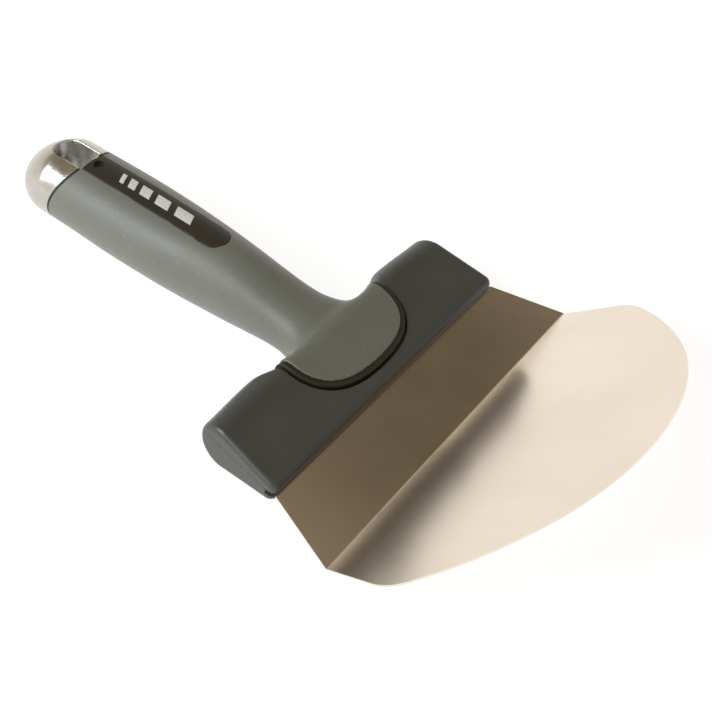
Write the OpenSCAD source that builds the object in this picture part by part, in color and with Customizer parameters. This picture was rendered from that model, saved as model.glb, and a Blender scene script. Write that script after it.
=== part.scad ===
// Inside corner trowel: a folded steel blade held in a riveted bolster, with a two-material
// handle and a cast end cap that carries the hanging slot. Units are millimetres.
// Every sub-part is drawn about the fold line of the blade: X across the blade, Y towards the
// blade's rounded tip, Z up. place() then lays the tool down as it rests on a bench.

/* [Blade] */
// Width of the blade along the fold
fold_width = 152; // [120:1:180]
// Thickness of the blade sheet
blade_t = 0.7; // [0.4:0.1:1.2]
// Rise of the flat strip towards the handle, degrees
strip_rise = 5.87; // [0:0.1:12]
// Rise of the rounded leaf in front of the fold, degrees
leaf_rise = 37.57; // [20:0.5:50]
// Inside radius of the fold
fold_r = 1.2; // [0.8:0.1:3]
// Length of the strip that shows between the fold and the bolster
strip_len = 28.3; // [20:0.1:40]
// Width of the strip where it enters the bolster
strip_back_width = 132.8; // [110:0.1:150]

/* [Bolster] */
// Depth of the bolster behind its front edge
bolster_depth = 35.2; // [30:0.1:44]
// Width of the bolster at its front edge
bolster_front_width = 134; // [134:0.1:160]
// Width of the bolster at its back edge
bolster_back_width = 126.8; // [120:0.1:150]
// Height of the bolster's top above the strip, at the front
top_front = 3.8; // [3.4:0.1:6]
// Depth of the bolster's underside below the strip, at the front
under_front = 4.9; // [4:0.1:7]
// Radius of the bolster's round back
back_r = 9.0; // [8:0.1:11]
// Drop of the round back's centre below the strip
back_drop = 2.3; // [1:0.1:3]

/* [Handle] */
// Half width of the bare strip on top of the handle
land_half = 5.75; // [4:0.05:8]
// Front end of the bare strip, measured back from the fold
land_front = 105; // [95:0.5:125]
// Length of the handle from the fold to the start of the hanging slot
slot_start = 172.7; // [160:0.1:185]

/* [End cap] */
// Length from the fold to the end of the cap
cap_end = 204.3; // [195:0.1:215]
// Where the cap starts to round off
dome_start = 186; // [180:0.1:192]
// End of the hanging slot
slot_end = 191; // [184:0.1:196]
// Half width of the hanging slot
slot_half = 5.8; // [4:0.1:8]

/* [Metalwork inside] */
// Thickness of the tang plate
tang_t = 2.5; // [1.5:0.1:4]
// Shank radius of the blade rivets
rivet_r = 2.0; // [1.5:0.1:3]
// Radius of the pin that holds the cap
pin_r = 1.8; // [1.2:0.1:2.5]

/* [Hidden] */
clr = 0.04;
skin_fn = 36;
half_w = fold_width/2;
fold_turn = strip_rise + leaf_rise;
fold_back = fold_r*tan(fold_turn/2);
bis = (leaf_rise - strip_rise)/2;
fold_cy = -fold_r/cos(fold_turn/2)*sin(bis);
fold_cz = fold_r/cos(fold_turn/2)*cos(bis);
s_front = strip_len;
s_back = strip_len + bolster_depth;
rest_tilt = 5.57;
lay_y = 67.551;
lay_z = 0.629;
seam_y = -134.8;
seam_z = -5.8;
seam_r = 46.6;
collar_t = 0.7;
root_s = 56;
pin_y = -169.2;
rivet_x = [-42, -14, 14, 42];
rivet_s = 48;
peg_x = [-52, -26, 26, 52];
peg_s = 34.6;
steel = [0.62, 0.60, 0.57];
black = [0.13, 0.12, 0.11];
green = [0.42, 0.44, 0.42];
dark = [0.24, 0.25, 0.24];

// Sections of the grip's outer skin: y, half width, half height, centre height, squareness.
grip_keys = [
    [-190, 17.4, 15.6, 6.40, 2.0],
    [-174, 17.4, 15.7, 6.37, 2.0],
    [-152, 17.75, 16.1, 5.95, 2.0],
    [-132, 17.2, 16.2, 5.55, 2.0],
    [-118, 16.2, 16.2, 5.25, 2.0],
    [-106, 15.2, 15.7, 5.05, 2.0],
    [-96, 14.5, 14.8, 4.75, 2.0],
    [-86, 13.8, 13.2, 4.50, 2.05],
    [-77, 13.3, 11.7, 4.30, 2.15],
    [-70, 13.6, 10.9, 4.10, 2.25],
    [-66, 14.5, 10.6, 4.00, 2.4],
    [-63.5, 15.6, 10.5, 4.00, 2.55],
    [-61.8, 16.8, 10.4, 4.00, 2.7],
    [-60.5, 18.2, 10.2, 4.00, 2.9],
    [-59.5, 20.0, 10.0, 4.00, 3.2],
    [-58.8, 22.4, 9.9, 4.00, 3.5],
    [-58.2, 24.6, 9.85, 4.05, 3.8],
    [-57, 26.0, 9.8, 4.10, 4.4],
    [-54, 26.4, 6.0, 7.95, 6.0],
    [-49.5, 25.6, 5.6, 7.55, 9.0],
    [-44, 23.2, 5.2, 6.75, 10],
    [-40.5, 20.4, 5.0, 6.15, 10],
    [-38, 16.7, 4.85, 5.75, 10],
    [-36.5, 12.2, 4.7, 5.45, 10],
    [-35.9, 7.0, 4.65, 5.35, 10],
    [-35.8, 3.0, 4.6, 5.35, 10]
];

// Sections of the hard core; round the flange it stands out past the grip as a lip.
core_keys = [
    [-190, 14.8, 13.0, 6.40, 2.0],
    [-174, 14.8, 13.1, 6.37, 2.0],
    [-152, 15.15, 13.5, 5.95, 2.0],
    [-132, 14.6, 13.6, 5.55, 2.0],
    [-118, 13.6, 13.6, 5.25, 2.0],
    [-106, 12.6, 13.1, 5.05, 2.0],
    [-96, 11.9, 12.2, 4.75, 2.0],
    [-86, 11.2, 10.6, 4.50, 2.05],
    [-77, 10.7, 9.2, 4.30, 2.15],
    [-70, 11.3, 8.5, 4.10, 2.25],
    [-66, 12.0, 8.2, 4.00, 2.4],
    [-63.5, 12.9, 8.1, 4.00, 2.6],
    [-61.6, 14.2, 8.1, 4.00, 2.8],
    [-60.2, 16.2, 8.2, 4.00, 3.0],
    [-59.5, 19.0, 8.4, 4.00, 3.3],
    [-58.9, 23.5, 8.6, 4.00, 3.6],
    [-58.3, 26.6, 8.8, 4.05, 3.9],
    [-57, 28.3, 9.05, 4.10, 4.8],
    [-54, 28.5, 5.2, 8.10, 7.0],
    [-49.5, 27.6, 4.8, 7.70, 11],
    [-44, 25.3, 4.4, 6.90, 12],
    [-40, 22.2, 4.2, 6.20, 12],
    [-37, 17.6, 4.0, 5.75, 12],
    [-35.1, 12.2, 3.9, 5.45, 12],
    [-34.1, 6.4, 3.8, 5.30, 12],
    [-34.0, 2.8, 3.8, 5.30, 12]
];

// Slope of key column c at row i, for the smooth curve through the keys.
function slope(K, c, i) =
    i == 0 ? (K[1][c] - K[0][c])/(K[1][0] - K[0][0])
    : i == len(K) - 1 ? (K[i][c] - K[i-1][c])/(K[i][0] - K[i-1][0])
    : (K[i+1][c] - K[i-1][c])/(K[i+1][0] - K[i-1][0]);

// Smooth value of key column c at fraction u of the span after row i.
function blend(K, c, i, u) =
    let (h = K[i+1][0] - K[i][0])
    (1 + 2*u)*(1 - u)*(1 - u)*K[i][c]
    + u*(1 - u)*(1 - u)*h*slope(K, c, i)
    + u*u*(3 - 2*u)*K[i+1][c]
    - u*u*(1 - u)*h*slope(K, c, i + 1);

// Sections at n steps in every span of the keys.
function sections(K, n) = concat(
    [for (i = [0:len(K) - 2]) for (k = [0:n - 1])
        let (u = k/n)
        [K[i][0] + u*(K[i+1][0] - K[i][0]), blend(K, 1, i, u), blend(K, 2, i, u),
            blend(K, 3, i, u), blend(K, 4, i, u)]],
    [K[len(K) - 1]]);

// A rounded-rectangle to ellipse outline, by squareness.
function outline(a, b, n, t) = [
    a*sign(cos(t))*pow(abs(cos(t)), 2/n),
    b*sign(sin(t))*pow(abs(sin(t)), 2/n)];

// Solid through a run of sections.
module loft(S, m) {
    k = len(S);
    body = [for (q = S) for (j = [0:m - 1])
        let (p = outline(q[1], q[2], q[4], 360*(j + 0.5)/m))
        [p[0], q[0], q[3] + p[1]]];
    ends = [[0, S[0][0], S[0][3]], [0, S[k-1][0], S[k-1][3]]];
    near = [for (i = [0:k - 2]) for (j = [0:m - 1])
        [i*m + j, i*m + (j + 1)%m, (i + 1)*m + j]];
    far = [for (i = [0:k - 2]) for (j = [0:m - 1])
        [i*m + (j + 1)%m, (i + 1)*m + (j + 1)%m, (i + 1)*m + j]];
    back = [for (j = [0:m - 1]) [k*m, (j + 1)%m, j]];
    front = [for (j = [0:m - 1]) [k*m + 1, (k - 1)*m + j, (k - 1)*m + (j + 1)%m]];
    polyhedron(points = concat(body, ends), faces = concat(near, far, back, front), convexity = 6);
}

// The sections from the neck to the middle of the flange.
function root(S) = [for (q = S) if (q[0] > -70.5 && q[0] < -52) q];

module grip_skin() {
    loft(sections(grip_keys, 2), skin_fn);
}

module core_skin() {
    loft(sections(core_keys, 2), skin_fn);
}

// The handle's root, which the bolster is moulded around behind its solid part.
module root_skin() {
    intersection() {
        union() {
            loft(root(sections(grip_keys, 2)), skin_fn);
            loft(root(sections(core_keys, 2)), skin_fn);
        }
        on_strip()
        translate([-40, -80, -30])
        cube([80, 80 - root_s, 60]);
    }
}

// Frame of the strip: -y runs back from the fold, z is the height above the strip.
module on_strip() {
    rotate([-strip_rise, 0, 0])
    children();
}

// Frame of the leaf: y runs forward from the fold.
module on_leaf() {
    rotate([leaf_rise, 0, 0])
    children();
}

// Lays the finished tool on the bench, fold line and handle belly down.
module place() {
    translate([0, lay_y, lay_z])
    rotate([-rest_tilt, 0, 0])
    children();
}

function arc(cx, cy, r, a0, a1, n) =
    [for (i = [0:n]) let (a = a0 + (a1 - a0)*i/n) [cx + r*sin(a), cy + r*cos(a)]];

// Right half of the leaf's rim, tip to fold.
leaf_half = concat(
    arc(0, -1.54, 81.25, 0, 37.6, 20),
    arc(-23.49, -32.05, 119.75, 38.6, 56.5, 14),
    arc(61.65, 24.30, 17.65, 59, 98.7, 14),
    [[half_w, fold_back - 0.02]]);

module leaf_plan() {
    n = len(leaf_half);
    left = [for (i = [n - 1:-1:1]) [-leaf_half[i][0], leaf_half[i][1]]];
    polygon(concat(leaf_half, left));
}

module strip_plan() {
    polygon([
        [-half_w, -fold_back + 0.02], [-strip_back_width/2, -s_front], [-60.5, -s_front - 3.4],
        [-59.5, -57], [59.5, -57], [60.5, -s_front - 3.4],
        [strip_back_width/2, -s_front], [half_w, -fold_back + 0.02]]);
}

module blade() {
    color(steel)
    place()
    difference() {
        union() {
            on_leaf()
            translate([0, 0, -blade_t])
            linear_extrude(height = blade_t)
            leaf_plan();
            translate([0, fold_cy, fold_cz])
            rotate([-strip_rise, 0, 0])
            rotate([0, 90, 0])
            rotate_extrude(angle = fold_turn, $fn = 96)
            translate([fold_r, -half_w])
            square([blade_t, fold_width]);
            on_strip()
            translate([0, 0, -blade_t])
            linear_extrude(height = blade_t)
            strip_plan();
        }
        on_strip()
        for (x = rivet_x) {
            translate([x, -rivet_s, -2])
            cylinder(r = rivet_r + 0.05, h = 4, $fn = 48);
        }
        on_strip()
        for (x = peg_x) {
            translate([x, -peg_s, -2])
            cylinder(r = 2.6, h = 4, $fn = 48);
        }
    }
}

// Side profile of the tang's stem: first parallel to the strip, then along the handle.
module stem_side() {
    c = cos(strip_rise);
    s = sin(strip_rise);
    t0 = -blade_t - clr;
    t1 = t0 - tang_t;
    polygon([
        [-50*c + t0*s, 50*s + t0*c], [-58*c + t0*s, 58*s + t0*c], [-171.4, 6.3 + tang_t/2],
        [-171.4, 6.3 - tang_t/2], [-58*c + t1*s, 58*s + t1*c], [-50*c + t1*s, 50*s + t1*c]]);
}

module stem_plan() {
    polygon([
        [-8.5, -50], [-8.5, -70], [-6.5, -90], [-5, -171.4], [5, -171.4], [6.5, -90],
        [8.5, -70], [8.5, -50]]);
}

// Straight-sided outline of the stem, wider by g all round.
module stem_solid(g) {
    intersection() {
        rotate([90, 0, 90])
        translate([0, 0, -15])
        linear_extrude(height = 30)
        offset(delta = g)
        stem_side();
        translate([0, 0, -10])
        linear_extrude(height = 30)
        offset(delta = g)
        stem_plan();
    }
}

module tang() {
    color([0.50, 0.50, 0.50])
    place()
    difference() {
        union() {
            on_strip()
            translate([-54, -56, -blade_t - clr - tang_t])
            cube([108, 16, tang_t]);
            stem_solid(0);
        }
        on_strip()
        for (x = rivet_x) {
            translate([x, -rivet_s, -6])
            cylinder(r = rivet_r + 0.05, h = 8, $fn = 48);
        }
        translate([0, pin_y, 0])
        cylinder(r = pin_r + 0.05, h = 14, $fn = 48);
    }
}

module rivet(x) {
    grip_len = blade_t + 2*clr + tang_t;
    color([0.66, 0.66, 0.68])
    place()
    on_strip()
    translate([x, -rivet_s, -blade_t - 2*clr - tang_t])
    rotate_extrude($fn = 48)
    polygon([
        [0, -1.3], [1.5, -1.3], [2.8, -1.0], [3.7, -0.4], [3.7, -clr], [rivet_r, -clr],
        [rivet_r, grip_len + clr], [3.7, grip_len + clr], [3.7, grip_len + 0.4],
        [2.8, grip_len + 1.0], [1.5, grip_len + 1.3], [0, grip_len + 1.3]]);
}

module blade_rivet_1() {
    rivet(rivet_x[0]);
}

module blade_rivet_2() {
    rivet(rivet_x[1]);
}

module blade_rivet_3() {
    rivet(rivet_x[2]);
}

module blade_rivet_4() {
    rivet(rivet_x[3]);
}

// One rounded corner of the bolster.
module ball(x, s, h, r) {
    translate([x, -s, h])
    sphere(r = r, $fn = 32);
}

// A short roller along X with rims rounded by f; x is where its outer face stands.
module roller(x, s, r, f) {
    w = 4;
    m = sign(x);
    translate([x - m*w, -s, -back_drop])
    rotate([0, 90*m, 0])
    rotate_extrude($fn = 48)
    polygon(concat(
        [[0, 0], [r, 0]],
        [for (a = [0:18:90]) [r - f + f*cos(a), w - f + f*sin(a)]],
        [[0, w]]));
}

// Outer form of the bolster, both shells together.
module bolster_form() {
    wf = bolster_front_width/2;
    wb = bolster_back_width/2;
    difference() {
        hull() {
            for (m = [-1, 1]) {
                roller(m*wb, s_back - back_r - 0.6, back_r, 2.6);
                roller(m*38, s_back - back_r + 0.4, back_r, 2.2);
                ball(m*(wf - 2), s_front + 5.0, top_front + 0.5 - 2, 2);
                ball(m*(wf - 2), s_front + 5.0, -under_front - 1.1 + 2, 2);
                ball(m*(wf - 4.4), s_front + 2.6, top_front + 0.2 - 2.6, 2.6);
                ball(m*(wf - 3.6), s_front + 1.8, -under_front - 0.4 + 1.8, 1.8);
            }
        }
        for (m = [-1, 1]) {
            translate([m*20.5, -s_back - 13.4, -30])
            cylinder(r = 17.7, h = 60, $fn = 96);
        }
        translate([-17, -80, -30])
        cube([34, 80 - 59.7, 60]);
    }
}

// The part of the bolster in front of the handle's root.
module bolster_front() {
    intersection() {
        bolster_form();
        translate([-80, -root_s, -30])
        cube([160, 60, 60]);
    }
}

// Room for the strip inside the bolster.
module strip_room() {
    translate([0, 0, -blade_t - clr])
    linear_extrude(height = blade_t + 2*clr)
    offset(delta = 0.08)
    strip_plan();
}

module holder_top() {
    color(dark)
    place()
    difference() {
        holder_top_shell();
        root_skin();
    }
}

module holder_top_shell() {
    on_strip()
    difference() {
        intersection() {
            bolster_form();
            translate([-80, -80, clr/2])
            cube([160, 60, 30]);
        }
        strip_room();
        for (x = rivet_x) {
            translate([x, -rivet_s, -1])
            cylinder(r = 4.2, h = 2.8, $fn = 48);
        }
        for (x = peg_x) {
            translate([x, -peg_s, -1])
            cylinder(r = 2.45, h = 3.3, $fn = 48);
        }
        for (x = [-28, 28]) {
            translate([x - 8, -55, -1])
            cube([16, 14, 4.4]);
        }
        for (x = [-52.5, 52.5]) {
            translate([x - 5, -55, -1])
            cube([10, 14, 4.4]);
        }
    }
}

module holder_bottom() {
    color(dark)
    place()
    difference() {
        holder_bottom_shell();
        root_skin();
    }
}

module holder_bottom_shell() {
    on_strip()
    difference() {
        union() {
            intersection() {
                bolster_form();
                translate([-80, -80, -30])
                cube([160, 60, 30 - clr/2]);
            }
            for (x = peg_x) {
                translate([x, -peg_s, -3])
                cylinder(r = 2.4, h = 5.2, $fn = 48);
            }
        }
        difference() {
            strip_room();
            for (x = peg_x) {
                translate([x, -peg_s, -3])
                cylinder(r = 2.4, h = 5.2, $fn = 48);
            }
        }
        translate([-54.1, -56.1, -blade_t - tang_t - 2*clr])
        cube([108.2, 16.2, tang_t + 2]);
        translate([-8.6, -80, -blade_t - tang_t - 0.9])
        cube([17.2, 30, tang_t + 3]);
        for (x = rivet_x) {
            translate([x, -rivet_s, -blade_t - tang_t - 1.7])
            cylinder(r = 4.2, h = 4, $fn = 48);
        }
        for (x = [-28, 28]) {
            translate([x - 8, -56.1, -8])
            cube([16, 11, 7]);
        }
    }
}

// Drum whose side is the curved seam between handle and cap.
module seam_drum(r) {
    translate([-30, seam_y, seam_z])
    rotate([0, 90, 0])
    cylinder(r = r, h = 60, $fn = 128);
}

// Plan of the bare strip on the handle.
module land_plan(g) {
    union() {
        translate([0, -land_front - land_half])
        circle(r = land_half + g, $fn = 64);
        translate([-land_half - g, -slot_start - 8])
        square([2*land_half + 2*g, slot_start + 8 - land_front - land_half]);
    }
}

module slot_plan(g) {
    union() {
        translate([0, -slot_end + slot_half])
        circle(r = slot_half + g, $fn = 64);
        translate([-slot_half - g, -slot_end + slot_half])
        square([2*slot_half + 2*g, slot_end - slot_half - slot_start + g]);
    }
}

// Tongue of the cap that enters the core, wider by g all round.
module tongue(g) {
    translate([-8.5 - g, -188, 6.3 - 6 - g])
    cube([17 + 2*g, 188 - 158 + g, 12 + 2*g]);
}

module handle_core() {
    color(black)
    place()
    difference() {
        union() {
            intersection() {
                core_skin();
                union() {
                    seam_drum(seam_r + collar_t);
                    translate([-40, -120, -30])
                    cube([80, 100, 60]);
                }
            }
            intersection() {
                grip_skin();
                seam_drum(seam_r + collar_t);
                union() {
                    difference() {
                        translate([-30, -200, -20])
                        cube([60, 40, 60]);
                        seam_drum(seam_r);
                    }
                    translate([0, 0, 4])
                    linear_extrude(height = 30)
                    land_plan(0);
                    translate([-land_half, -185, -20])
                    cube([2*land_half, 26, 22]);
                }
            }
        }
        on_strip()
        bolster_front();
        stem_solid(0.06);
        tongue(0.06);
        translate([0, 0, -30])
        linear_extrude(height = 70)
        slot_plan(0.01);
        translate([0, pin_y, -30])
        cylinder(r = pin_r + 0.03, h = 60, $fn = 48);
        translate([0, pin_y, 21.0])
        cylinder(r = 2.1, h = 6, $fn = 48);
    }
}

module grip() {
    color(green)
    place()
    difference() {
        intersection() {
            grip_skin();
            union() {
                seam_drum(seam_r - clr);
                translate([-40, -120, -30])
                cube([80, 100, 60]);
            }
        }
        on_strip()
        bolster_front();
        core_skin();
        translate([0, 0, 4])
        linear_extrude(height = 30)
        land_plan(clr);
        translate([-land_half - clr, -185, -20])
        cube([2*land_half + 2*clr, 26 + clr, 22]);
    }
}

// Rounding of the cap: scale of the section at fraction d past the start of the dome.
function dome(d) = pow(max(1 - pow(d, 1.84), 0), 1/1.84);

cap_sections = concat(
    [[-158, 17.4, 15.7, 6.37, 2.0]],
    [for (i = [0:16])
        let (d = sin(90*min(i/16, 0.985)))
        [-dome_start - d*(cap_end - dome_start), 17.4*dome(d), 15.6*dome(d), 6.4 - 3.4*d, 2.0]]);

module end_cap() {
    color([0.74, 0.73, 0.70])
    place()
    difference() {
        union() {
            difference() {
                loft([for (i = [len(cap_sections) - 1:-1:0]) cap_sections[i]], 44);
                seam_drum(seam_r + collar_t + clr);
            }
            tongue(0);
        }
        translate([0, 0, -30])
        linear_extrude(height = 70)
        slot_plan(0);
        stem_solid(0.06);
        translate([0, pin_y, -30])
        cylinder(r = pin_r + 0.03, h = 60, $fn = 48);
    }
}

module cap_pin() {
    color([0.20, 0.20, 0.20])
    place()
    translate([0, pin_y, -8.4])
    cylinder(r = pin_r, h = 29.0, $fn = 48);
}

blade();
tang();
blade_rivet_1();
blade_rivet_2();
blade_rivet_3();
blade_rivet_4();
holder_top();
holder_bottom();
handle_core();
grip();
end_cap();
cap_pin();
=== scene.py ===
import math

import bpy
import numpy as np
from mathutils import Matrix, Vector


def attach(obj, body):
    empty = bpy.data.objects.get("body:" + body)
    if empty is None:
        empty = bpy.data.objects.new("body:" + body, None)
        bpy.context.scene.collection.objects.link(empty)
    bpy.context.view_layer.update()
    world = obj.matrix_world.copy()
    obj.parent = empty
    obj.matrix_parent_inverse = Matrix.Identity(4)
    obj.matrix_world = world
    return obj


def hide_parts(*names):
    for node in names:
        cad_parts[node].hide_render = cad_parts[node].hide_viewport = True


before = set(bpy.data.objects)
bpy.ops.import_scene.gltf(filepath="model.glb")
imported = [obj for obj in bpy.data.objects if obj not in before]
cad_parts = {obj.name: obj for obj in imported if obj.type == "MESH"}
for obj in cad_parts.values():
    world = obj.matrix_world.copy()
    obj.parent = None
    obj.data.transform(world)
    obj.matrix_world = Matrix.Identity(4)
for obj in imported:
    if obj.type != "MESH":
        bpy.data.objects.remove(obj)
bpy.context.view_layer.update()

# ---------------------------------------------------------------------------------------------
# The moulded pieces are drawn in the tool's own frame, in millimetres: X across the blade, Y
# forward from the fold, Z up. Each is a closed field, negative inside, that is turned into a
# mesh, and then laid on the bench as the CAD lays it.
# ---------------------------------------------------------------------------------------------
REST_TILT = math.radians(5.57)
LAY_Y, LAY_Z = 67.551, 0.629
STRIP_RISE = math.radians(5.87)
COARSE = 1.0


def to_row(p):
    """Points of the tool frame in mm, as points of the row frame in metres."""
    c, s = math.cos(REST_TILT), math.sin(REST_TILT)
    x, y, z = p[:, 0], p[:, 1], p[:, 2]
    return np.stack([x, y * c + z * s + LAY_Y, -y * s + z * c + LAY_Z], 1) / 1000


def turn_to_row(n):
    c, s = math.cos(REST_TILT), math.sin(REST_TILT)
    return np.stack([n[:, 0], n[:, 1] * c + n[:, 2] * s, -n[:, 1] * s + n[:, 2] * c], 1)


def smin(a, b, k):
    h = np.maximum(k - np.abs(a - b), 0) / k
    return np.minimum(a, b) - h * h * k / 4


def smax(a, b, k):
    return -smin(-a, -b, k)


def rmax(a, b, r):
    """Both at once, with the edge between them rounded to radius r."""
    return np.minimum(np.maximum(a, b), -r) + np.hypot(np.maximum(a + r, 0), np.maximum(b + r, 0))


def ease(t):
    t = np.clip(t, 0, 1)
    return t * t * (3 - 2 * t)


def spans(*parts):
    """Grid planes from runs of (start, end, step)."""
    out = []
    for a, b, d in parts:
        n = max(int(round((b - a) / (d * COARSE))), 1)
        out.append(np.linspace(a, b, n, endpoint=False))
    return np.concatenate(out + [np.array([parts[-1][1]])])


NET_EPS, NORMAL_EPS = 0.01, 0.06
NET_PULLS, NET_REACH = 4, 0.25


def net(field, xs, ys, zs):
    """Closed surface of the field's zero level: a point per crossed cell, pulled onto the level."""
    slabs = [field(xs[:, None, None], ys[None, j:j + 24, None], zs[None, None, :])
             for j in range(0, len(ys), 24)]
    v = np.concatenate([np.broadcast_to(a, (len(xs), a.shape[1], len(zs))) for a in slabs], 1)
    v = np.ascontiguousarray(v, dtype=np.float64)
    v[[0, -1]], v[:, [0, -1]], v[:, :, [0, -1]] = 1, 1, 1
    s = v < 0
    n = sum(s[i:s.shape[0] - 1 + i, j:s.shape[1] - 1 + j, k:s.shape[2] - 1 + k].astype(np.int8)
            for i in (0, 1) for j in (0, 1) for k in (0, 1))
    cell = (n > 0) & (n < 8)
    idx = np.full(cell.shape, -1, np.int64)
    idx[cell] = np.arange(cell.sum())
    ci, cj, ck = np.nonzero(cell)
    total, count = np.zeros((len(ci), 3)), np.zeros(len(ci))
    corners = [(i, j, k) for i in (0, 1) for j in (0, 1) for k in (0, 1)]
    for a in corners:
        for axis in range(3):
            if a[axis]:
                continue
            b = tuple(1 if m == axis else a[m] for m in range(3))
            va = v[ci + a[0], cj + a[1], ck + a[2]]
            vb = v[ci + b[0], cj + b[1], ck + b[2]]
            cross = (va < 0) != (vb < 0)
            t = np.where(cross, va / np.where(cross, va - vb, 1), 0)
            pa = np.stack([xs[ci + a[0]], ys[cj + a[1]], zs[ck + a[2]]], 1)
            pb = np.stack([xs[ci + b[0]], ys[cj + b[1]], zs[ck + b[2]]], 1)
            total += np.where(cross[:, None], pa + t[:, None] * (pb - pa), 0)
            count += cross
    p = total / count[:, None]
    quads = []
    for axis in range(3):
        lo = [slice(None)] * 3
        hi = [slice(None)] * 3
        lo[axis], hi[axis] = slice(0, -1), slice(1, None)
        change = s[tuple(lo)] != s[tuple(hi)]
        e = np.stack(np.nonzero(change), 1)
        u, w = (axis + 1) % 3, (axis + 2) % 3
        clear = (e[:, u] > 0) & (e[:, w] > 0)
        clear &= (e[:, u] < v.shape[u] - 1) & (e[:, w] < v.shape[w] - 1)
        e = e[clear]
        ring = []
        for du, dw in ((-1, -1), (0, -1), (0, 0), (-1, 0)):
            q = e.copy()
            q[:, u] += du
            q[:, w] += dw
            ring.append(idx[q[:, 0], q[:, 1], q[:, 2]])
        ring = np.stack(ring, 1)
        inside = s[e[:, 0], e[:, 1], e[:, 2]]
        ring[~inside] = ring[~inside][:, ::-1]
        quads.append(ring)
    f = np.concatenate(quads)
    for _ in range(NET_PULLS):
        d, g = sample(field, p, NET_EPS)
        step = -d[:, None] * g / np.maximum((g * g).sum(1), 0.05)[:, None]
        reach = np.linalg.norm(step, axis=1)
        step *= np.minimum(1, NET_REACH / np.maximum(reach, 1e-9))[:, None]
        p = p + step
    g = sample(field, p, NORMAL_EPS)[1]
    return p, f, g / np.maximum(np.linalg.norm(g, axis=1), 1e-9)[:, None]


def sample(field, p, eps):
    x, y, z = p[:, 0], p[:, 1], p[:, 2]
    d = field(x, y, z)
    g = np.stack([field(x + eps, y, z) - field(x - eps, y, z),
                  field(x, y + eps, z) - field(x, y - eps, z),
                  field(x, y, z + eps) - field(x, y, z - eps)], 1) / (2 * eps)
    return d, g


def make_mesh(name, p, faces, mats, normals=None, pick=None):
    me = bpy.data.meshes.new(name)
    me.from_pydata(to_row(p).tolist(), [], faces.tolist())
    me.update()
    for m in mats:
        me.materials.append(m)
    me.polygons.foreach_set("use_smooth", [True] * len(me.polygons))
    if pick is not None:
        me.polygons.foreach_set("material_index", pick.astype(np.int32))
    if normals is not None:
        me.normals_split_custom_set_from_vertices(turn_to_row(normals).tolist())
    ob = bpy.data.objects.new(name, me)
    bpy.context.scene.collection.objects.link(ob)
    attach(ob, "root")
    return ob


# ---------------------------------------------------------------------------------------------
# Shapes
# ---------------------------------------------------------------------------------------------
# Handle skin: y, half width, half height, centre height, squareness.
HANDLE = np.array([
    (-215, 17.4, 15.6, 6.40, 2.0), (-190, 17.4, 15.6, 6.40, 2.0), (-174, 17.4, 15.7, 6.37, 2.0),
    (-152, 17.75, 16.1, 5.95, 2.0), (-132, 17.2, 16.2, 5.55, 2.0), (-118, 16.2, 16.2, 5.25, 2.0),
    (-106, 15.2, 15.7, 5.05, 2.0), (-96, 14.5, 14.8, 4.75, 2.0), (-86, 13.8, 13.2, 4.50, 2.05),
    (-77, 13.3, 11.7, 4.30, 2.15), (-70, 13.5, 10.9, 4.10, 2.25), (-66, 14.3, 10.6, 4.00, 2.4),
    (-63, 15.4, 10.4, 4.00, 2.5), (-60, 17.0, 10.1, 4.05, 2.6), (-56, 18.5, 9.5, 4.20, 2.6),
    (-51, 19.0, 8.2, 4.40, 2.6), (-46, 18.5, 6.4, 4.40, 2.6), (-42, 17.0, 5.0, 4.40, 2.6),
    (-20, 16.0, 4.0, 4.40, 2.6)])


def smooth_table(rows, step=0.25):
    """The key rows as a fine table, joined by the cubic that the CAD uses."""
    y = rows[:, 0]
    slope = np.empty((len(y), rows.shape[1] - 1))
    slope[0] = (rows[1, 1:] - rows[0, 1:]) / (y[1] - y[0])
    slope[-1] = (rows[-1, 1:] - rows[-2, 1:]) / (y[-1] - y[-2])
    slope[1:-1] = (rows[2:, 1:] - rows[:-2, 1:]) / (y[2:] - y[:-2])[:, None]
    t = np.arange(y[0], y[-1], step)
    i = np.clip(np.searchsorted(y, t, side="right") - 1, 0, len(y) - 2)
    h = (y[i + 1] - y[i])[:, None]
    u = ((t - y[i]) / (y[i + 1] - y[i]))[:, None]
    a, b = rows[i, 1:], rows[i + 1, 1:]
    val = ((1 + 2 * u) * (1 - u) ** 2 * a + u * (1 - u) ** 2 * h * slope[i]
           + u * u * (3 - 2 * u) * b - u * u * (1 - u) * h * slope[i + 1])
    return t, val


TAB_Y, TAB = smooth_table(HANDLE)


def handle_at(y):
    return [np.interp(y, TAB_Y, TAB[:, k]) for k in range(4)]


def super_d(x, z, a, b, n):
    """Roughly the distance from a superellipse, negative inside."""
    ax, az = np.abs(x) / a + 1e-6, np.abs(z) / b + 1e-6
    r = (ax ** n + az ** n) ** (1 / n)
    gx, gz = (ax / r) ** (n - 1) / a, (az / r) ** (n - 1) / b
    return (r - 1) / np.hypot(gx, gz)


def handle_skin(x, y, z):
    a, b, zc, n = handle_at(y)
    return super_d(x, z - zc, a, b, n)


def handle_top(x, y):
    a, b, zc, n = handle_at(y)
    return zc + b * (1 - (np.abs(x) / a) ** n) ** (1 / n)


def strip_sh(y, z):
    """Distance back from the fold along the strip, and height above it."""
    c, s = math.cos(STRIP_RISE), math.sin(STRIP_RISE)
    return -(y * c - z * s), y * s + z * c


def from_strip(p):
    """Points or directions of the strip's frame (x, -s, h), in the tool's frame."""
    c, s = math.cos(STRIP_RISE), math.sin(STRIP_RISE)
    return np.stack([p[:, 0], p[:, 1] * c + p[:, 2] * s, -p[:, 1] * s + p[:, 2] * c], 1)


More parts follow.
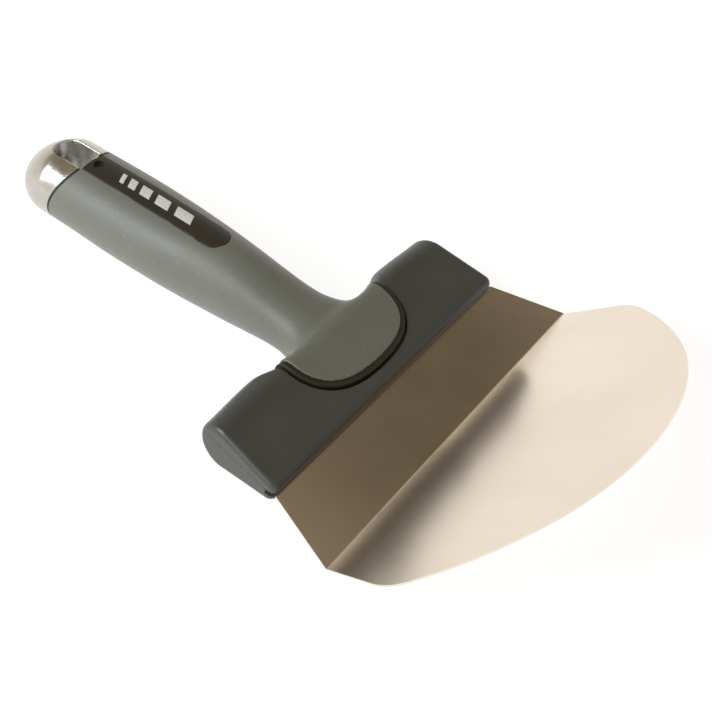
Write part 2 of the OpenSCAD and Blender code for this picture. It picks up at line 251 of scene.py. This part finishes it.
S_FRONT = 28.3
BACK_S, BACK_H, BACK_R = 55.1, -2.3, 9.04
TOP_SLOPE, UNDER_SLOPE = 0.12, 0.27
FRONT_HALF, BACK_HALF = 67.0, 63.3
NOTCH_X, NOTCH_R, NOTCH_S, NOTCH_BLEND = 20.5, 17.7, 75.4, 3.0
PLAN_CORNER, EDGE_ROUND = 3.4, 2.2
# The ends taper: FRONT_HALF at TAPER_S, and BACK_HALF at TAPER_RUN behind it.
TAPER_S, TAPER_RUN, TAPER_COS = 30, 33, 0.994
# Near the ends the back is drawn forward: how far, and where across and along that comes in.
END_PULL, END_X, END_WIDE, END_S, END_RUN = 1.2, 38, 27, 40, 14


def bolster(x, s, h):
    """Both bolster shells as one form, in the strip's frame."""
    ax = np.abs(x)
    s = s + END_PULL * ease((ax - END_X) / END_WIDE) * np.clip((s - END_S) / END_RUN, 0, 1)
    u, v = s - BACK_S, h - BACK_H
    round_back = np.hypot(u, v)
    k = math.hypot(1, TOP_SLOPE)
    top = np.where(u + TOP_SLOPE * v > 0, round_back, (v - TOP_SLOPE * u) / k)
    k = math.hypot(1, UNDER_SLOPE)
    under = np.where(u - UNDER_SLOPE * v > 0, round_back, (-v - UNDER_SLOPE * u) / k)
    profile = np.maximum(top, under) - BACK_R
    half = FRONT_HALF - (FRONT_HALF - BACK_HALF) * (s - TAPER_S) / TAPER_RUN
    plan = rmax((ax - half) * TAPER_COS, S_FRONT - s, PLAN_CORNER)
    body = rmax(profile, plan, EDGE_ROUND)
    notch = NOTCH_R - np.hypot(np.maximum(ax - NOTCH_X, 0), s - NOTCH_S)
    return smax(body, notch, NOTCH_BLEND)


# Half outline of the flange's lip: distance back along the strip, half width.
LIP = np.array([(34.5, 0.0), (34.6, 3.0), (34.8, 6.4), (35.7, 12.2), (37.3, 17.2), (39.6, 21.2),
                (43.4, 24.9), (48.0, 27.2), (53.0, 28.2), (58.0, 28.2), (74.0, 28.2)])
LIP_WIDE = 1.9
# The flange keeps above this height, and reaches below it only behind this distance.
FLANGE_FLOOR, WRAP_S = -2.0, 57.5
LIP_GRID = 0.25


def lip_table():
    """Signed distance from the flange's outline, on a fine grid of x and s."""
    t = np.concatenate([[0], np.cumsum(np.hypot(*np.diff(LIP, axis=0).T))])
    u = np.linspace(0, t[-1], 160)
    m = np.gradient(LIP, t, axis=0)
    m[0] = (0.0, 1.0)
    i = np.clip(np.searchsorted(t, u, side="right") - 1, 0, len(t) - 2)
    h = (t[i + 1] - t[i])[:, None]
    w = ((u - t[i]) / (t[i + 1] - t[i]))[:, None]
    q = ((1 + 2 * w) * (1 - w) ** 2 * LIP[i] + w * (1 - w) ** 2 * h * m[i]
         + w * w * (3 - 2 * w) * LIP[i + 1] - w * w * (1 - w) * h * m[i + 1])
    gx, gs = np.arange(0, 36.2, LIP_GRID), np.arange(26, 74, LIP_GRID)
    px, ps = np.meshgrid(gx, gs, indexing="ij")
    best = np.full(px.shape, 1e9)
    for a, b in zip(q[:-1], q[1:]):
        e = b - a
        ws, wx = ps - a[0], px - a[1]
        c = np.clip((ws * e[0] + wx * e[1]) / max(e @ e, 1e-9), 0, 1)
        best = np.minimum(best, np.hypot(ws - c * e[0], wx - c * e[1]))
    inside = px < np.interp(ps, q[:, 0], q[:, 1], left=-1)
    return gx, gs, np.where(inside, -best, best)


LIP_X, LIP_S, LIP_D = lip_table()


def outline(x, s, h):
    """Distance outside the flange's outline, seen square to the bolster's top."""
    fx = np.clip(np.abs(x) / LIP_GRID, 0, len(LIP_X) - 1.001)
    fs = np.clip((s - LIP_S[0]) / LIP_GRID, 0, len(LIP_S) - 1.001)
    fx, fs = np.broadcast_arrays(fx, fs)
    i, j = fx.astype(int), fs.astype(int)
    u, v = fx - i, fs - j
    d = ((1 - u) * (1 - v) * LIP_D[i, j] + u * (1 - v) * LIP_D[i + 1, j]
         + (1 - u) * v * LIP_D[i, j + 1] + u * v * LIP_D[i + 1, j + 1])
    return np.maximum(d, np.minimum(FLANGE_FLOOR - h, WRAP_S - s))


PROUD_FROM, PROUD_RUN = -8.5, 5


def proud(h):
    """Share of the flange's height, which fades away under the bolster."""
    return ease((h - PROUD_FROM) / PROUD_RUN)


SEAT, GROOVE, FIT = 2.0, 0.8, 0.02
PAD_RISE, PAD_ROUND, PAD_BLEND = 1.7, 0.7, 3.4
PLATE_RISE, PLATE_ROUND, PLATE_ROOM_ROUND = 1.0, 0.35, 0.3
SKIN_WALL, SKIN_GAP = 2.6, 0.04
# The handle's form fades out in front of NECK_Y, inside the flange.
NECK_Y, NECK_FADE, NECK_BLEND = -52, 0.3, 1.5
CORE_FRONT, BARE_Z = -56, 4
PIN_Y, PIN_BORE, PIT_R, PIT_FLOOR, PIT_ROUND = -169.2, 1.85, 2.1, 20.7, 0.2


STEM_FRONT, STEM_ROOT, STEM_RUN, STEM_END = -50, -58, 113.4, -171.4
STEM_HALF, STEM_Z, STEM_LIFT = 1.5, 3.9, 2.4


def stem(x, y, z):
    """The tang's stem."""
    run = np.clip((STEM_ROOT - y) / STEM_RUN, 0, 1)
    half = np.interp(y, [STEM_END, -90, -70], [5.0, 6.5, 8.5])
    line = STEM_Z + run * STEM_LIFT
    return np.maximum(np.maximum(np.abs(x) - half, np.abs(z - line) - STEM_HALF),
                      np.maximum(STEM_END - y, y - STEM_FRONT))


SEAM_Y, SEAM_Z, SEAM_R, COLLAR = -134.8, -5.8, 46.6, 0.7
# The seam counts behind the first place, and the collar's ring behind the second.
SEAM_BACK, RING_BACK, RING_SUNK = -110, -150, 0.12


def seam(y, z):
    return np.hypot(y - SEAM_Y, z - SEAM_Z) - SEAM_R


LAND_HALF, LAND_FRONT = 5.75, -105.5
SLOT_HALF, SLOT_FRONT, SLOT_END = 5.8, -172.7, -191.0


def land(x, y):
    """Plan of the bare strip on the handle."""
    return np.hypot(x, np.maximum(y - (LAND_FRONT - LAND_HALF), 0)) - LAND_HALF


def slot_plan(x, y, half):
    back = SLOT_END + SLOT_HALF
    return np.maximum(np.hypot(x, np.minimum(y - back, 0)) - half, y - SLOT_FRONT)


TONGUE_HALF, TONGUE_Z, TONGUE_TALL = 8.5, 6.3, 6
TONGUE_FRONT, TONGUE_BACK, CAP_GAP = -158, -180, 0.05


def tongue(x, y, z, g):
    """The cap's tongue, or with g the room for it."""
    across, up = np.abs(x) - TONGUE_HALF - g, np.abs(z - TONGUE_Z) - TONGUE_TALL - g
    return np.maximum(np.maximum(across, up), y - TONGUE_FRONT - g)


def grip_field(x, y, z):
    s, h = strip_sh(y, z)
    b = bolster(x, s, h)
    skin = handle_skin(x, y, z)
    pad = rmax(b - PAD_RISE * proud(h), outline(x, s, h) + LIP_WIDE, PAD_ROUND)
    neck = smax(skin, NECK_FADE * (y - NECK_Y), NECK_BLEND)
    outer = smin(neck, pad, PAD_BLEND)
    plate = rmax(b - PLATE_RISE * proud(h), outline(x, s, h), PLATE_ROOM_ROUND)
    inner = np.minimum(skin + SKIN_WALL, plate) - FIT
    solid = np.maximum(outer, -np.minimum(inner, b + SEAT))
    bare = np.maximum(land(x, y) - SKIN_GAP, BARE_Z - z)
    solid = np.maximum(solid, -bare)
    return np.where(y < SEAM_BACK, np.maximum(solid, seam(y, z) + SKIN_GAP), solid)


def core_field(x, y, z):
    s, h = strip_sh(y, z)
    b = bolster(x, s, h)
    skin = handle_skin(x, y, z)
    plate = rmax(b - PLATE_RISE * proud(h), outline(x, s, h), PLATE_ROUND)
    inside = np.maximum(skin + SKIN_WALL + FIT, y - CORE_FRONT)
    core = np.minimum(inside, np.maximum(plate, -(b + SEAT)))
    core = np.maximum(core, -(b + SEAT))
    sm = seam(y, z)
    bare = np.maximum(np.maximum(skin, land(x, y)), BARE_Z - z)
    ring = np.maximum(skin + RING_SUNK, -sm)
    core = np.minimum(core, bare)
    core = np.where(y < RING_BACK, np.minimum(core, ring), core)
    core = np.where(y < SEAM_BACK, np.maximum(core, sm - COLLAR), core)
    core = np.maximum(core, -stem(x, y, z))
    core = np.maximum(core, -tongue(x, y, z, CAP_GAP))
    core = np.maximum(core, -slot_plan(x, y, SLOT_HALF))
    pit = np.maximum(np.hypot(x, y - PIN_Y) - PIT_R, PIT_FLOOR - z)
    return rmax(core, -pit, PIT_ROUND)


# Half gap and edge rounding where the two shells meet, and how near it the skin's normals are kept.
SEAM_GAP, SEAM_ROUND = 0.01, 0.03
SEAM_SKIN, SEAM_REACH = 0.12, 0.4
GROOVE_ROUND = 0.35
# Room for the tang's bar, and the way out of it for the stem.
POCKET_HALF, POCKET_S, POCKET_WIDE, POCKET_TOP, POCKET_FLOOR = 54.2, 48, 8.2, 1.9, -4.9
WAY_HALF, WAY_S, WAY_H, WAY_TALL = 8.6, 50, -2, 1.8
# Room for the sheet: half widths along s, rear end and depth. Then the open front corner.
SHEET_S, SHEET_HALF, SHEET_END, SHEET_H = (0, 28.3, 31.7, 57), (76, 66.5, 60.6, 59.6), 57.1, -0.74
CORNER_X, CORNER_S, CORNER_H, CORNER_ROUND = 61.5, 32.2, -1.9, 0.2


def holder_fields(x, s, h):
    b = bolster(x, s, h)
    room = np.maximum(outline(x, s, h) - GROOVE * proud(h) - FIT, -(b + SEAT + FIT))
    b = rmax(b, -room, GROOVE_ROUND)
    pocket = np.maximum(np.maximum(np.abs(x) - POCKET_HALF, np.abs(s - POCKET_S) - POCKET_WIDE),
                        np.maximum(h - POCKET_TOP, POCKET_FLOOR - h))
    way = np.maximum(np.maximum(np.abs(x) - WAY_HALF, WAY_S - s), np.abs(h - WAY_H) - WAY_TALL)
    return np.maximum(np.maximum(b, -pocket), -way)


def bolster_skin(x, yp, h):
    """The bolster's outside in the strip's frame, which runs on unbroken across the shells' seam."""
    return bolster(x, -yp, h)


def holder_top_field(x, yp, h):
    """Upper shell, in the strip's frame."""
    return rmax(holder_fields(x, -yp, h), SEAM_GAP - h, SEAM_ROUND)


def holder_bottom_field(x, yp, h):
    """Lower shell, in the strip's frame, with room for the sheet and an open front corner."""
    s = -yp
    half = np.interp(s, SHEET_S, SHEET_HALF)
    sheet = np.maximum(np.maximum(np.abs(x) - half, s - SHEET_END), SHEET_H - h)
    corner = np.maximum(np.maximum(CORNER_X - np.abs(x), s - CORNER_S), CORNER_H - h)
    shell = rmax(holder_fields(x, s, h), h + SEAM_GAP, SEAM_ROUND)
    return np.maximum(rmax(shell, -corner, CORNER_ROUND), -sheet)


DOME_Y, DOME_LONG, DOME_POW = -186.0, 18.3, 1.84
DOME_HALF, DOME_TALL, DOME_Z, DOME_DROP = 17.4, 15.62, 6.4, 3.4
CAP_ROUND, SLOT_ROUND = 0.35, 0.7
LEDGE_TOP, LEDGE_X, LEDGE_Y, LEDGE_DEEP = 20.2, 2, -182.5, 0.85


def cap_field(x, y, z):
    """End cap: dome, hanging slot with a ledge in one wall, and the tongue."""
    d = np.clip((DOME_Y - y) / DOME_LONG, 0, 1.6)
    zc = DOME_Z - DOME_DROP * d
    a, b = DOME_HALF, DOME_TALL
    r2 = np.hypot(x / a, (z - zc) / b) + 1e-6
    g = (r2 ** DOME_POW + d ** DOME_POW) ** (1 / DOME_POW)
    gr = (r2 / g) ** (DOME_POW - 1)
    gy = (d / g) ** (DOME_POW - 1) / DOME_LONG
    grad = np.sqrt((gr * x / (a * a * r2)) ** 2 + (gr * (z - zc) / (b * b * r2)) ** 2 + gy ** 2)
    dome = (g - 1) / np.maximum(grad, 0.02)
    dome = rmax(dome, COLLAR + CAP_GAP - seam(y, z), CAP_ROUND)
    ledge = ease((LEDGE_TOP - z) / 0.3) * ease((x - LEDGE_X) / 0.5) * ease(y - LEDGE_Y)
    slot = slot_plan(x, y, SLOT_HALF - LEDGE_DEEP * ledge)
    body = rmax(dome, -slot, SLOT_ROUND)
    peg = np.maximum(tongue(x, y, z, 0), TONGUE_BACK - y)
    body = np.minimum(body, np.maximum(peg, -slot))
    body = np.maximum(body, -stem(x, y, z))
    return np.maximum(body, PIN_BORE - np.hypot(x, y - PIN_Y))


# ---------------------------------------------------------------------------------------------
# Materials
# ---------------------------------------------------------------------------------------------
class Mat:
    """A node material that is built up a node at a time."""

    def __init__(self, name):
        self.m = bpy.data.materials.new(name)
        self.m.use_nodes = True
        self.t = self.m.node_tree
        self.bsdf = self.t.nodes["Principled BSDF"]
        self.coord = self.t.nodes.new("ShaderNodeTexCoord").outputs["Object"]

    def put(self, name, value):
        self.bsdf.inputs[name].default_value = value

    def link(self, a, b):
        self.t.links.new(a, b)

    def scaled(self, scale):
        n = self.t.nodes.new("ShaderNodeMapping")
        n.inputs["Scale"].default_value = scale
        self.link(self.coord, n.inputs["Vector"])
        return n.outputs["Vector"]

    def noise(self, scale, detail=4.0, rough=0.6, stretch=(1, 1, 1)):
        n = self.t.nodes.new("ShaderNodeTexNoise")
        n.inputs["Scale"].default_value = scale
        n.inputs["Detail"].default_value = detail
        n.inputs["Roughness"].default_value = rough
        self.link(self.scaled(stretch), n.inputs["Vector"])
        return n.outputs["Fac"]

    def span(self, fac, lo, hi, a=0.0, b=1.0):
        n = self.t.nodes.new("ShaderNodeMapRange")
        n.inputs["From Min"].default_value = a
        n.inputs["From Max"].default_value = b
        n.inputs["To Min"].default_value = lo
        n.inputs["To Max"].default_value = hi
        self.link(fac, n.inputs["Value"])
        return n.outputs["Result"]

    def maths(self, op, a, b):
        n = self.t.nodes.new("ShaderNodeMath")
        n.operation = op
        for k, v in enumerate((a, b)):
            if isinstance(v, (int, float)):
                n.inputs[k].default_value = v
            else:
                self.link(v, n.inputs[k])
        return n.outputs["Value"]

    def mix(self, fac, a, b, blend="MIX"):
        n = self.t.nodes.new("ShaderNodeMix")
        n.data_type = "RGBA"
        n.blend_type = blend
        for socket, v in ((n.inputs[0], fac), (n.inputs[6], a), (n.inputs[7], b)):
            if isinstance(v, (int, float)):
                socket.default_value = v
            elif isinstance(v, tuple):
                socket.default_value = (*v, 1)
            else:
                self.link(v, socket)
        return n.outputs[2]

    def bump(self, height, strength, distance):
        n = self.t.nodes.new("ShaderNodeBump")
        n.inputs["Strength"].default_value = strength
        n.inputs["Distance"].default_value = distance
        self.link(height, n.inputs["Height"])
        if self.bsdf.inputs["Normal"].is_linked:
            self.link(self.bsdf.inputs["Normal"].links[0].from_socket, n.inputs["Normal"])
        self.link(n.outputs["Normal"], self.bsdf.inputs["Normal"])

    def colour(self, socket):
        self.link(socket, self.bsdf.inputs["Base Color"])

    def rough(self, socket):
        self.link(socket, self.bsdf.inputs["Roughness"])


def brushed_blade():
    m = Mat("stainless_brushed")
    m.put("Metallic", 1.0)
    lines = m.noise(1.0, 3.0, 0.6, (60, 5200, 5200))
    cloud = m.noise(28.0, 3.0, 0.5)
    m.colour(m.mix(m.span(cloud, 0.0, 1.0, 0.35, 0.65), (0.84, 0.755, 0.645), (0.885, 0.80, 0.69)))
    m.rough(m.maths("ADD", m.span(lines, 0.0, 0.07), m.span(cloud, 0.14, 0.19)))
    m.bump(lines, 0.035, 0.00002)
    return m.m


def plain_steel(name, tint, rough):
    m = Mat(name)
    m.put("Metallic", 1.0)
    grain = m.noise(900.0, 3.0)
    m.colour(m.mix(grain, tuple(c * 0.9 for c in tint), tint))
    m.rough(m.span(grain, rough - 0.06, rough + 0.08))
    m.bump(grain, 0.1, 0.00002)
    return m.m


def bolster_plastic():
    m = Mat("bolster_plastic_satin")
    flow = m.noise(42.0, 2.0, 0.5, (0.5, 1, 1))
    fine = m.noise(3800.0, 2.0, 0.6)
    fleck = m.noise(620.0, 1.0, 0.4)
    base = m.mix(m.span(flow, 0, 1, 0.3, 0.7), (0.058, 0.060, 0.052), (0.074, 0.076, 0.066))
    m.colour(m.mix(m.span(fleck, 0, 0.55, 0.74, 0.80), base, (0.12, 0.125, 0.12)))
    m.rough(m.maths("ADD", m.span(flow, 0.36, 0.46, 0.3, 0.7), m.span(fine, -0.04, 0.04)))
    m.bump(fine, 0.12, 0.00003)
    m.put("Specular IOR Level", 0.5)
    return m.m


def core_plastic():
    m = Mat("core_plastic_black")
    fine = m.noise(3000.0, 2.0, 0.6)
    cloud = m.noise(60.0, 2.0)
    m.colour(m.mix(cloud, (0.022, 0.017, 0.010), (0.032, 0.025, 0.016)))
    m.rough(m.span(fine, 0.42, 0.54))
    m.bump(fine, 0.15, 0.00003)
    return m.m


def grip_rubber():
    m = Mat("grip_rubber_matte")
    fine = m.noise(2600.0, 3.0, 0.65)
    cloud = m.noise(35.0, 3.0, 0.55)
    fleck = m.noise(900.0, 1.0, 0.4)
    base = m.mix(m.span(cloud, 0, 1, 0.3, 0.7), (0.143, 0.146, 0.120), (0.160, 0.164, 0.136))
    base = m.mix(m.span(fine, 0, 0.35, 0.45, 0.75), base, (0.195, 0.20, 0.178))
    m.colour(m.mix(m.span(fleck, 0, 0.5, 0.66, 0.80), base, (0.26, 0.27, 0.25)))
    m.rough(m.span(cloud, 0.44, 0.52, 0.3, 0.7))
    m.bump(fine, 0.35, 0.00004)
    m.put("Specular IOR Level", 0.6)
    m.put("Sheen Weight", 0.12)
    m.put("Sheen Roughness", 0.5)
    return m.m


def cap_metal(name, rough, tint, pebble, depth):
    m = Mat(name)
    m.put("Metallic", 0.95)
    wide = m.noise(170.0, 3.0, 0.5)
    fine = m.noise(1400.0, 3.0, 0.6)
    m.colour(m.mix(m.span(wide, 0, 1, 0.3, 0.7), tuple(c * 0.9 for c in tint), tint))
    m.rough(m.maths("ADD", m.span(wide, rough - 0.05, rough + 0.06, 0.3, 0.7),
                    m.span(fine, -0.03, 0.05)))
    m.bump(wide, pebble, 0.0006)
    m.bump(fine, depth, 0.00004)
    return m.m


def white_ink():
    m = Mat("print_ink")
    fine = m.noise(2400.0, 3.0, 0.7)
    m.colour(m.mix(m.span(fine, 0, 1, 0.3, 0.55), (0.52, 0.53, 0.52), (0.80, 0.81, 0.79)))
    m.put("Roughness", 0.55)
    m.bump(fine, 0.2, 0.00003)
    return m.m


FLOOR_GLOW = 0.88


def pale_floor():
    m = Mat("studio_floor")
    cloud = m.noise(2.0, 2.0)
    m.colour(m.mix(cloud, (0.22, 0.22, 0.218), (0.24, 0.24, 0.238)))
    m.put("Roughness", 0.9)
    m.put("Specular IOR Level", 0.1)
    m.put("Emission Color", (1, 1, 1, 1))
    m.put("Emission Strength", FLOOR_GLOW)
    return m.m


steel = brushed_blade()
tang_mat = plain_steel("tang_mill", (0.42, 0.42, 0.42), 0.42)
rivet_mat = plain_steel("rivet_plain", (0.6, 0.6, 0.62), 0.32)
pin_mat = plain_steel("pin_black", (0.10, 0.085, 0.06), 0.4)
bolster_mat = bolster_plastic()
core_mat = core_plastic()
grip_mat = grip_rubber()
cap_out = cap_metal("cap_polished", 0.22, (0.58, 0.545, 0.49), 0.34, 0.12)
cap_in = cap_metal("cap_rough_cast", 0.30, (1.0, 0.98, 0.95), 0.55, 0.5)
ink = white_ink()

node_mats = {"blade": steel, "tang": tang_mat, "cap_pin": pin_mat}
node_mats.update({f"blade_rivet_{k}": rivet_mat for k in (1, 2, 3, 4)})
for name, mat in node_mats.items():
    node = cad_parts[name]
    if not node.material_slots:
        node.data.materials.append(mat)
    for ms in node.material_slots:
        ms.material = mat

# ---------------------------------------------------------------------------------------------
# Pieces
# ---------------------------------------------------------------------------------------------
p, f, n = net(grip_field, spans((-29, 29, 0.42)),
              spans((-183, -72, 0.6), (-72, -35, 0.34)), spans((-12, 24, 0.42)))
grip = make_mesh("grip_skin", p, f, [grip_mat], n)
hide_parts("grip")

p, f, n = net(core_field, spans((-30, 30, 0.42)),
              spans((-184, -164, 0.34), (-164, -116, 0.7), (-116, -104, 0.4), (-104, -72, 0.8),
                    (-72, -32, 0.34)), spans((-12, 24, 0.42)))
core = make_mesh("core_body", p, f, [core_mat], n)
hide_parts("handle_core")

for name, field, zs in (("bolster_top", holder_top_field, (-0.8, 8.2, 0.3)),
                        ("bolster_bottom", holder_bottom_field, (-12.2, 1, 0.3))):
    p, f, n = net(field, spans((-68.5, 68.5, 0.42)), spans((-66, -26, 0.32)), spans(zs))
    skin_way = sample(bolster_skin, p, NORMAL_EPS)[1]
    skin_way /= np.linalg.norm(skin_way, axis=1)[:, None]
    at_seam = (np.abs(bolster_skin(*p.T)) < SEAM_SKIN) & (np.abs(p[:, 2]) < SEAM_REACH)
    n[at_seam] = skin_way[at_seam]
    half = make_mesh(name, from_strip(p), f, [bolster_mat], from_strip(n))
    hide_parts("holder_top" if name == "bolster_top" else "holder_bottom")

p, f, n = net(cap_field, spans((-18.5, 18.5, 0.33)), spans((-205.5, -156, 0.33)),
              spans((-14, 23.5, 0.33)))
mid = p[f].mean(1)
in_slot = slot_plan(mid[:, 0], mid[:, 1], SLOT_HALF - 0.02) < 0.12
cap = make_mesh("end_cap_cast", p, f, [cap_out, cap_in], n, in_slot)
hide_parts("end_cap")


def stripe(y0, wide, slant):
    """Points and faces of one slanted bar printed on the bare strip."""
    nx, ny, tall = 13, 9, 2.45
    pts = []
    for layer in (0.035, -0.03):
        for i in range(nx):
            for j in range(ny):
                x = -tall + 2 * tall * i / (nx - 1)
                y = y0 + wide * (j / (ny - 1) - 0.5) + slant * x
                pts.append((x, y, float(handle_top(x, y)) + layer))
    half = nx * ny
    faces = []
    for i in range(nx - 1):
        for j in range(ny - 1):
            a = i * ny + j
            faces.append((a, a + ny, a + ny + 1, a + 1))
            faces.append((half + a + 1, half + a + ny + 1, half + a + ny, half + a))
    rim = ([i * ny for i in range(nx)] + [(nx - 1) * ny + j for j in range(1, ny)]
           + [i * ny + ny - 1 for i in range(nx - 2, -1, -1)] + list(range(ny - 2, 0, -1)))
    for a, b in zip(rim, rim[1:] + rim[:1]):
        faces.append((b, a, half + a, half + b))
    return pts, faces


pts, faces = [], []
for y0, wide in ((-156.6, 2.0), (-151.6, 3.4), (-145.0, 4.9), (-136.6, 6.4), (-126.2, 7.9)):
    q, g = stripe(y0, wide, 0.45)
    faces += [tuple(k + len(pts) for k in face) for face in g]
    pts += q
mark = make_mesh("strip_mark", np.array(pts), np.array(faces), [ink])
for poly in mark.data.polygons:
    poly.use_smooth = False

# ---------------------------------------------------------------------------------------------
# Floor, light and camera
# ---------------------------------------------------------------------------------------------
FLOOR_HALF, FLOOR_DROP = 9.0, 0.0002
me = bpy.data.meshes.new("floor")
corners = [(FLOOR_HALF * i, FLOOR_HALF * j, 0) for i, j in ((-1, -1), (1, -1), (1, 1), (-1, 1))]
me.from_pydata(corners, [], [(0, 1, 2, 3)])
me.materials.append(pale_floor())
floor = bpy.data.objects.new("floor", me)
floor.location.z = -FLOOR_DROP
bpy.context.scene.collection.objects.link(floor)

world = bpy.data.worlds.new("studio")
bpy.context.scene.world = world
world.use_nodes = True
wt = world.node_tree
back = wt.nodes["Background"]


def lobe(direction, lo, hi):
    """How far a direction of the room lies within a soft patch about another one."""
    tc = wt.nodes.new("ShaderNodeTexCoord")
    dot = wt.nodes.new("ShaderNodeVectorMath")
    dot.operation = "DOT_PRODUCT"
    dot.inputs[1].default_value = Vector(direction).normalized()
    wt.links.new(tc.outputs["Generated"], dot.inputs[0])
    mr = wt.nodes.new("ShaderNodeMapRange")
    mr.interpolation_type = "SMOOTHSTEP"
    mr.inputs["From Min"].default_value = lo
    mr.inputs["From Max"].default_value = hi
    wt.links.new(dot.outputs["Value"], mr.inputs["Value"])
    return mr.outputs["Result"]


def blend_to(fac, a, b):
    mx = wt.nodes.new("ShaderNodeMix")
    mx.data_type = "RGBA"
    wt.links.new(fac, mx.inputs[0])
    for k, v in ((6, a), (7, b)):
        if isinstance(v, tuple):
            mx.inputs[k].default_value = (*v, 1)
        else:
            wt.links.new(v, mx.inputs[k])
    return mx.outputs[2]


DOME = (0.27, 0.225, 0.16)
sky = blend_to(lobe((0, 0, 1), 0.22, 0.60), (1.0, 0.965, 0.93), DOME)
sky = blend_to(lobe((-0.60, -0.52, 0.61), 0.93, 0.985), sky, (0.42, 0.35, 0.26))
sky = blend_to(lobe((-0.625, -0.04, 0.78), 0.982, 0.9985), sky, (0.088, 0.071, 0.046))
wt.links.new(sky, back.inputs["Color"])
back.inputs["Strength"].default_value = 1.0


def area(name, place, aim, size, power, tint):
    li = bpy.data.lights.new(name, "AREA")
    li.shape = "DISK"
    li.size = size
    li.energy = power
    li.color = tint
    ob = bpy.data.objects.new(name, li)
    ob.location = place
    ob.rotation_mode = "QUATERNION"
    ob.rotation_quaternion = (Vector(aim) - Vector(place)).to_track_quat("-Z", "Y")
    bpy.context.scene.collection.objects.link(ob)


WINDOW_PLACE, WINDOW_AIM = (0.78, -0.50, 0.68), (0, -0.02, 0.02)
area("window", WINDOW_PLACE, WINDOW_AIM, size=0.55, power=9, tint=(0.86, 0.95, 1.0))

CAMERA_PLACE, CAMERA_TURN = (0.25663, 0.1962, 0.29723), (46.9894, -1.9788, 125.7991)
cam = bpy.data.cameras.new("camera")
cam.lens = 60.0
cam.sensor_width = 36.0
cam.clip_start = 0.01
cam_ob = bpy.data.objects.new("camera", cam)
cam_ob.location = CAMERA_PLACE
cam_ob.rotation_euler = [math.radians(a) for a in CAMERA_TURN]
bpy.context.scene.collection.objects.link(cam_ob)
bpy.context.scene.camera = cam_ob
bpy.context.scene.view_settings.view_transform = "Standard"
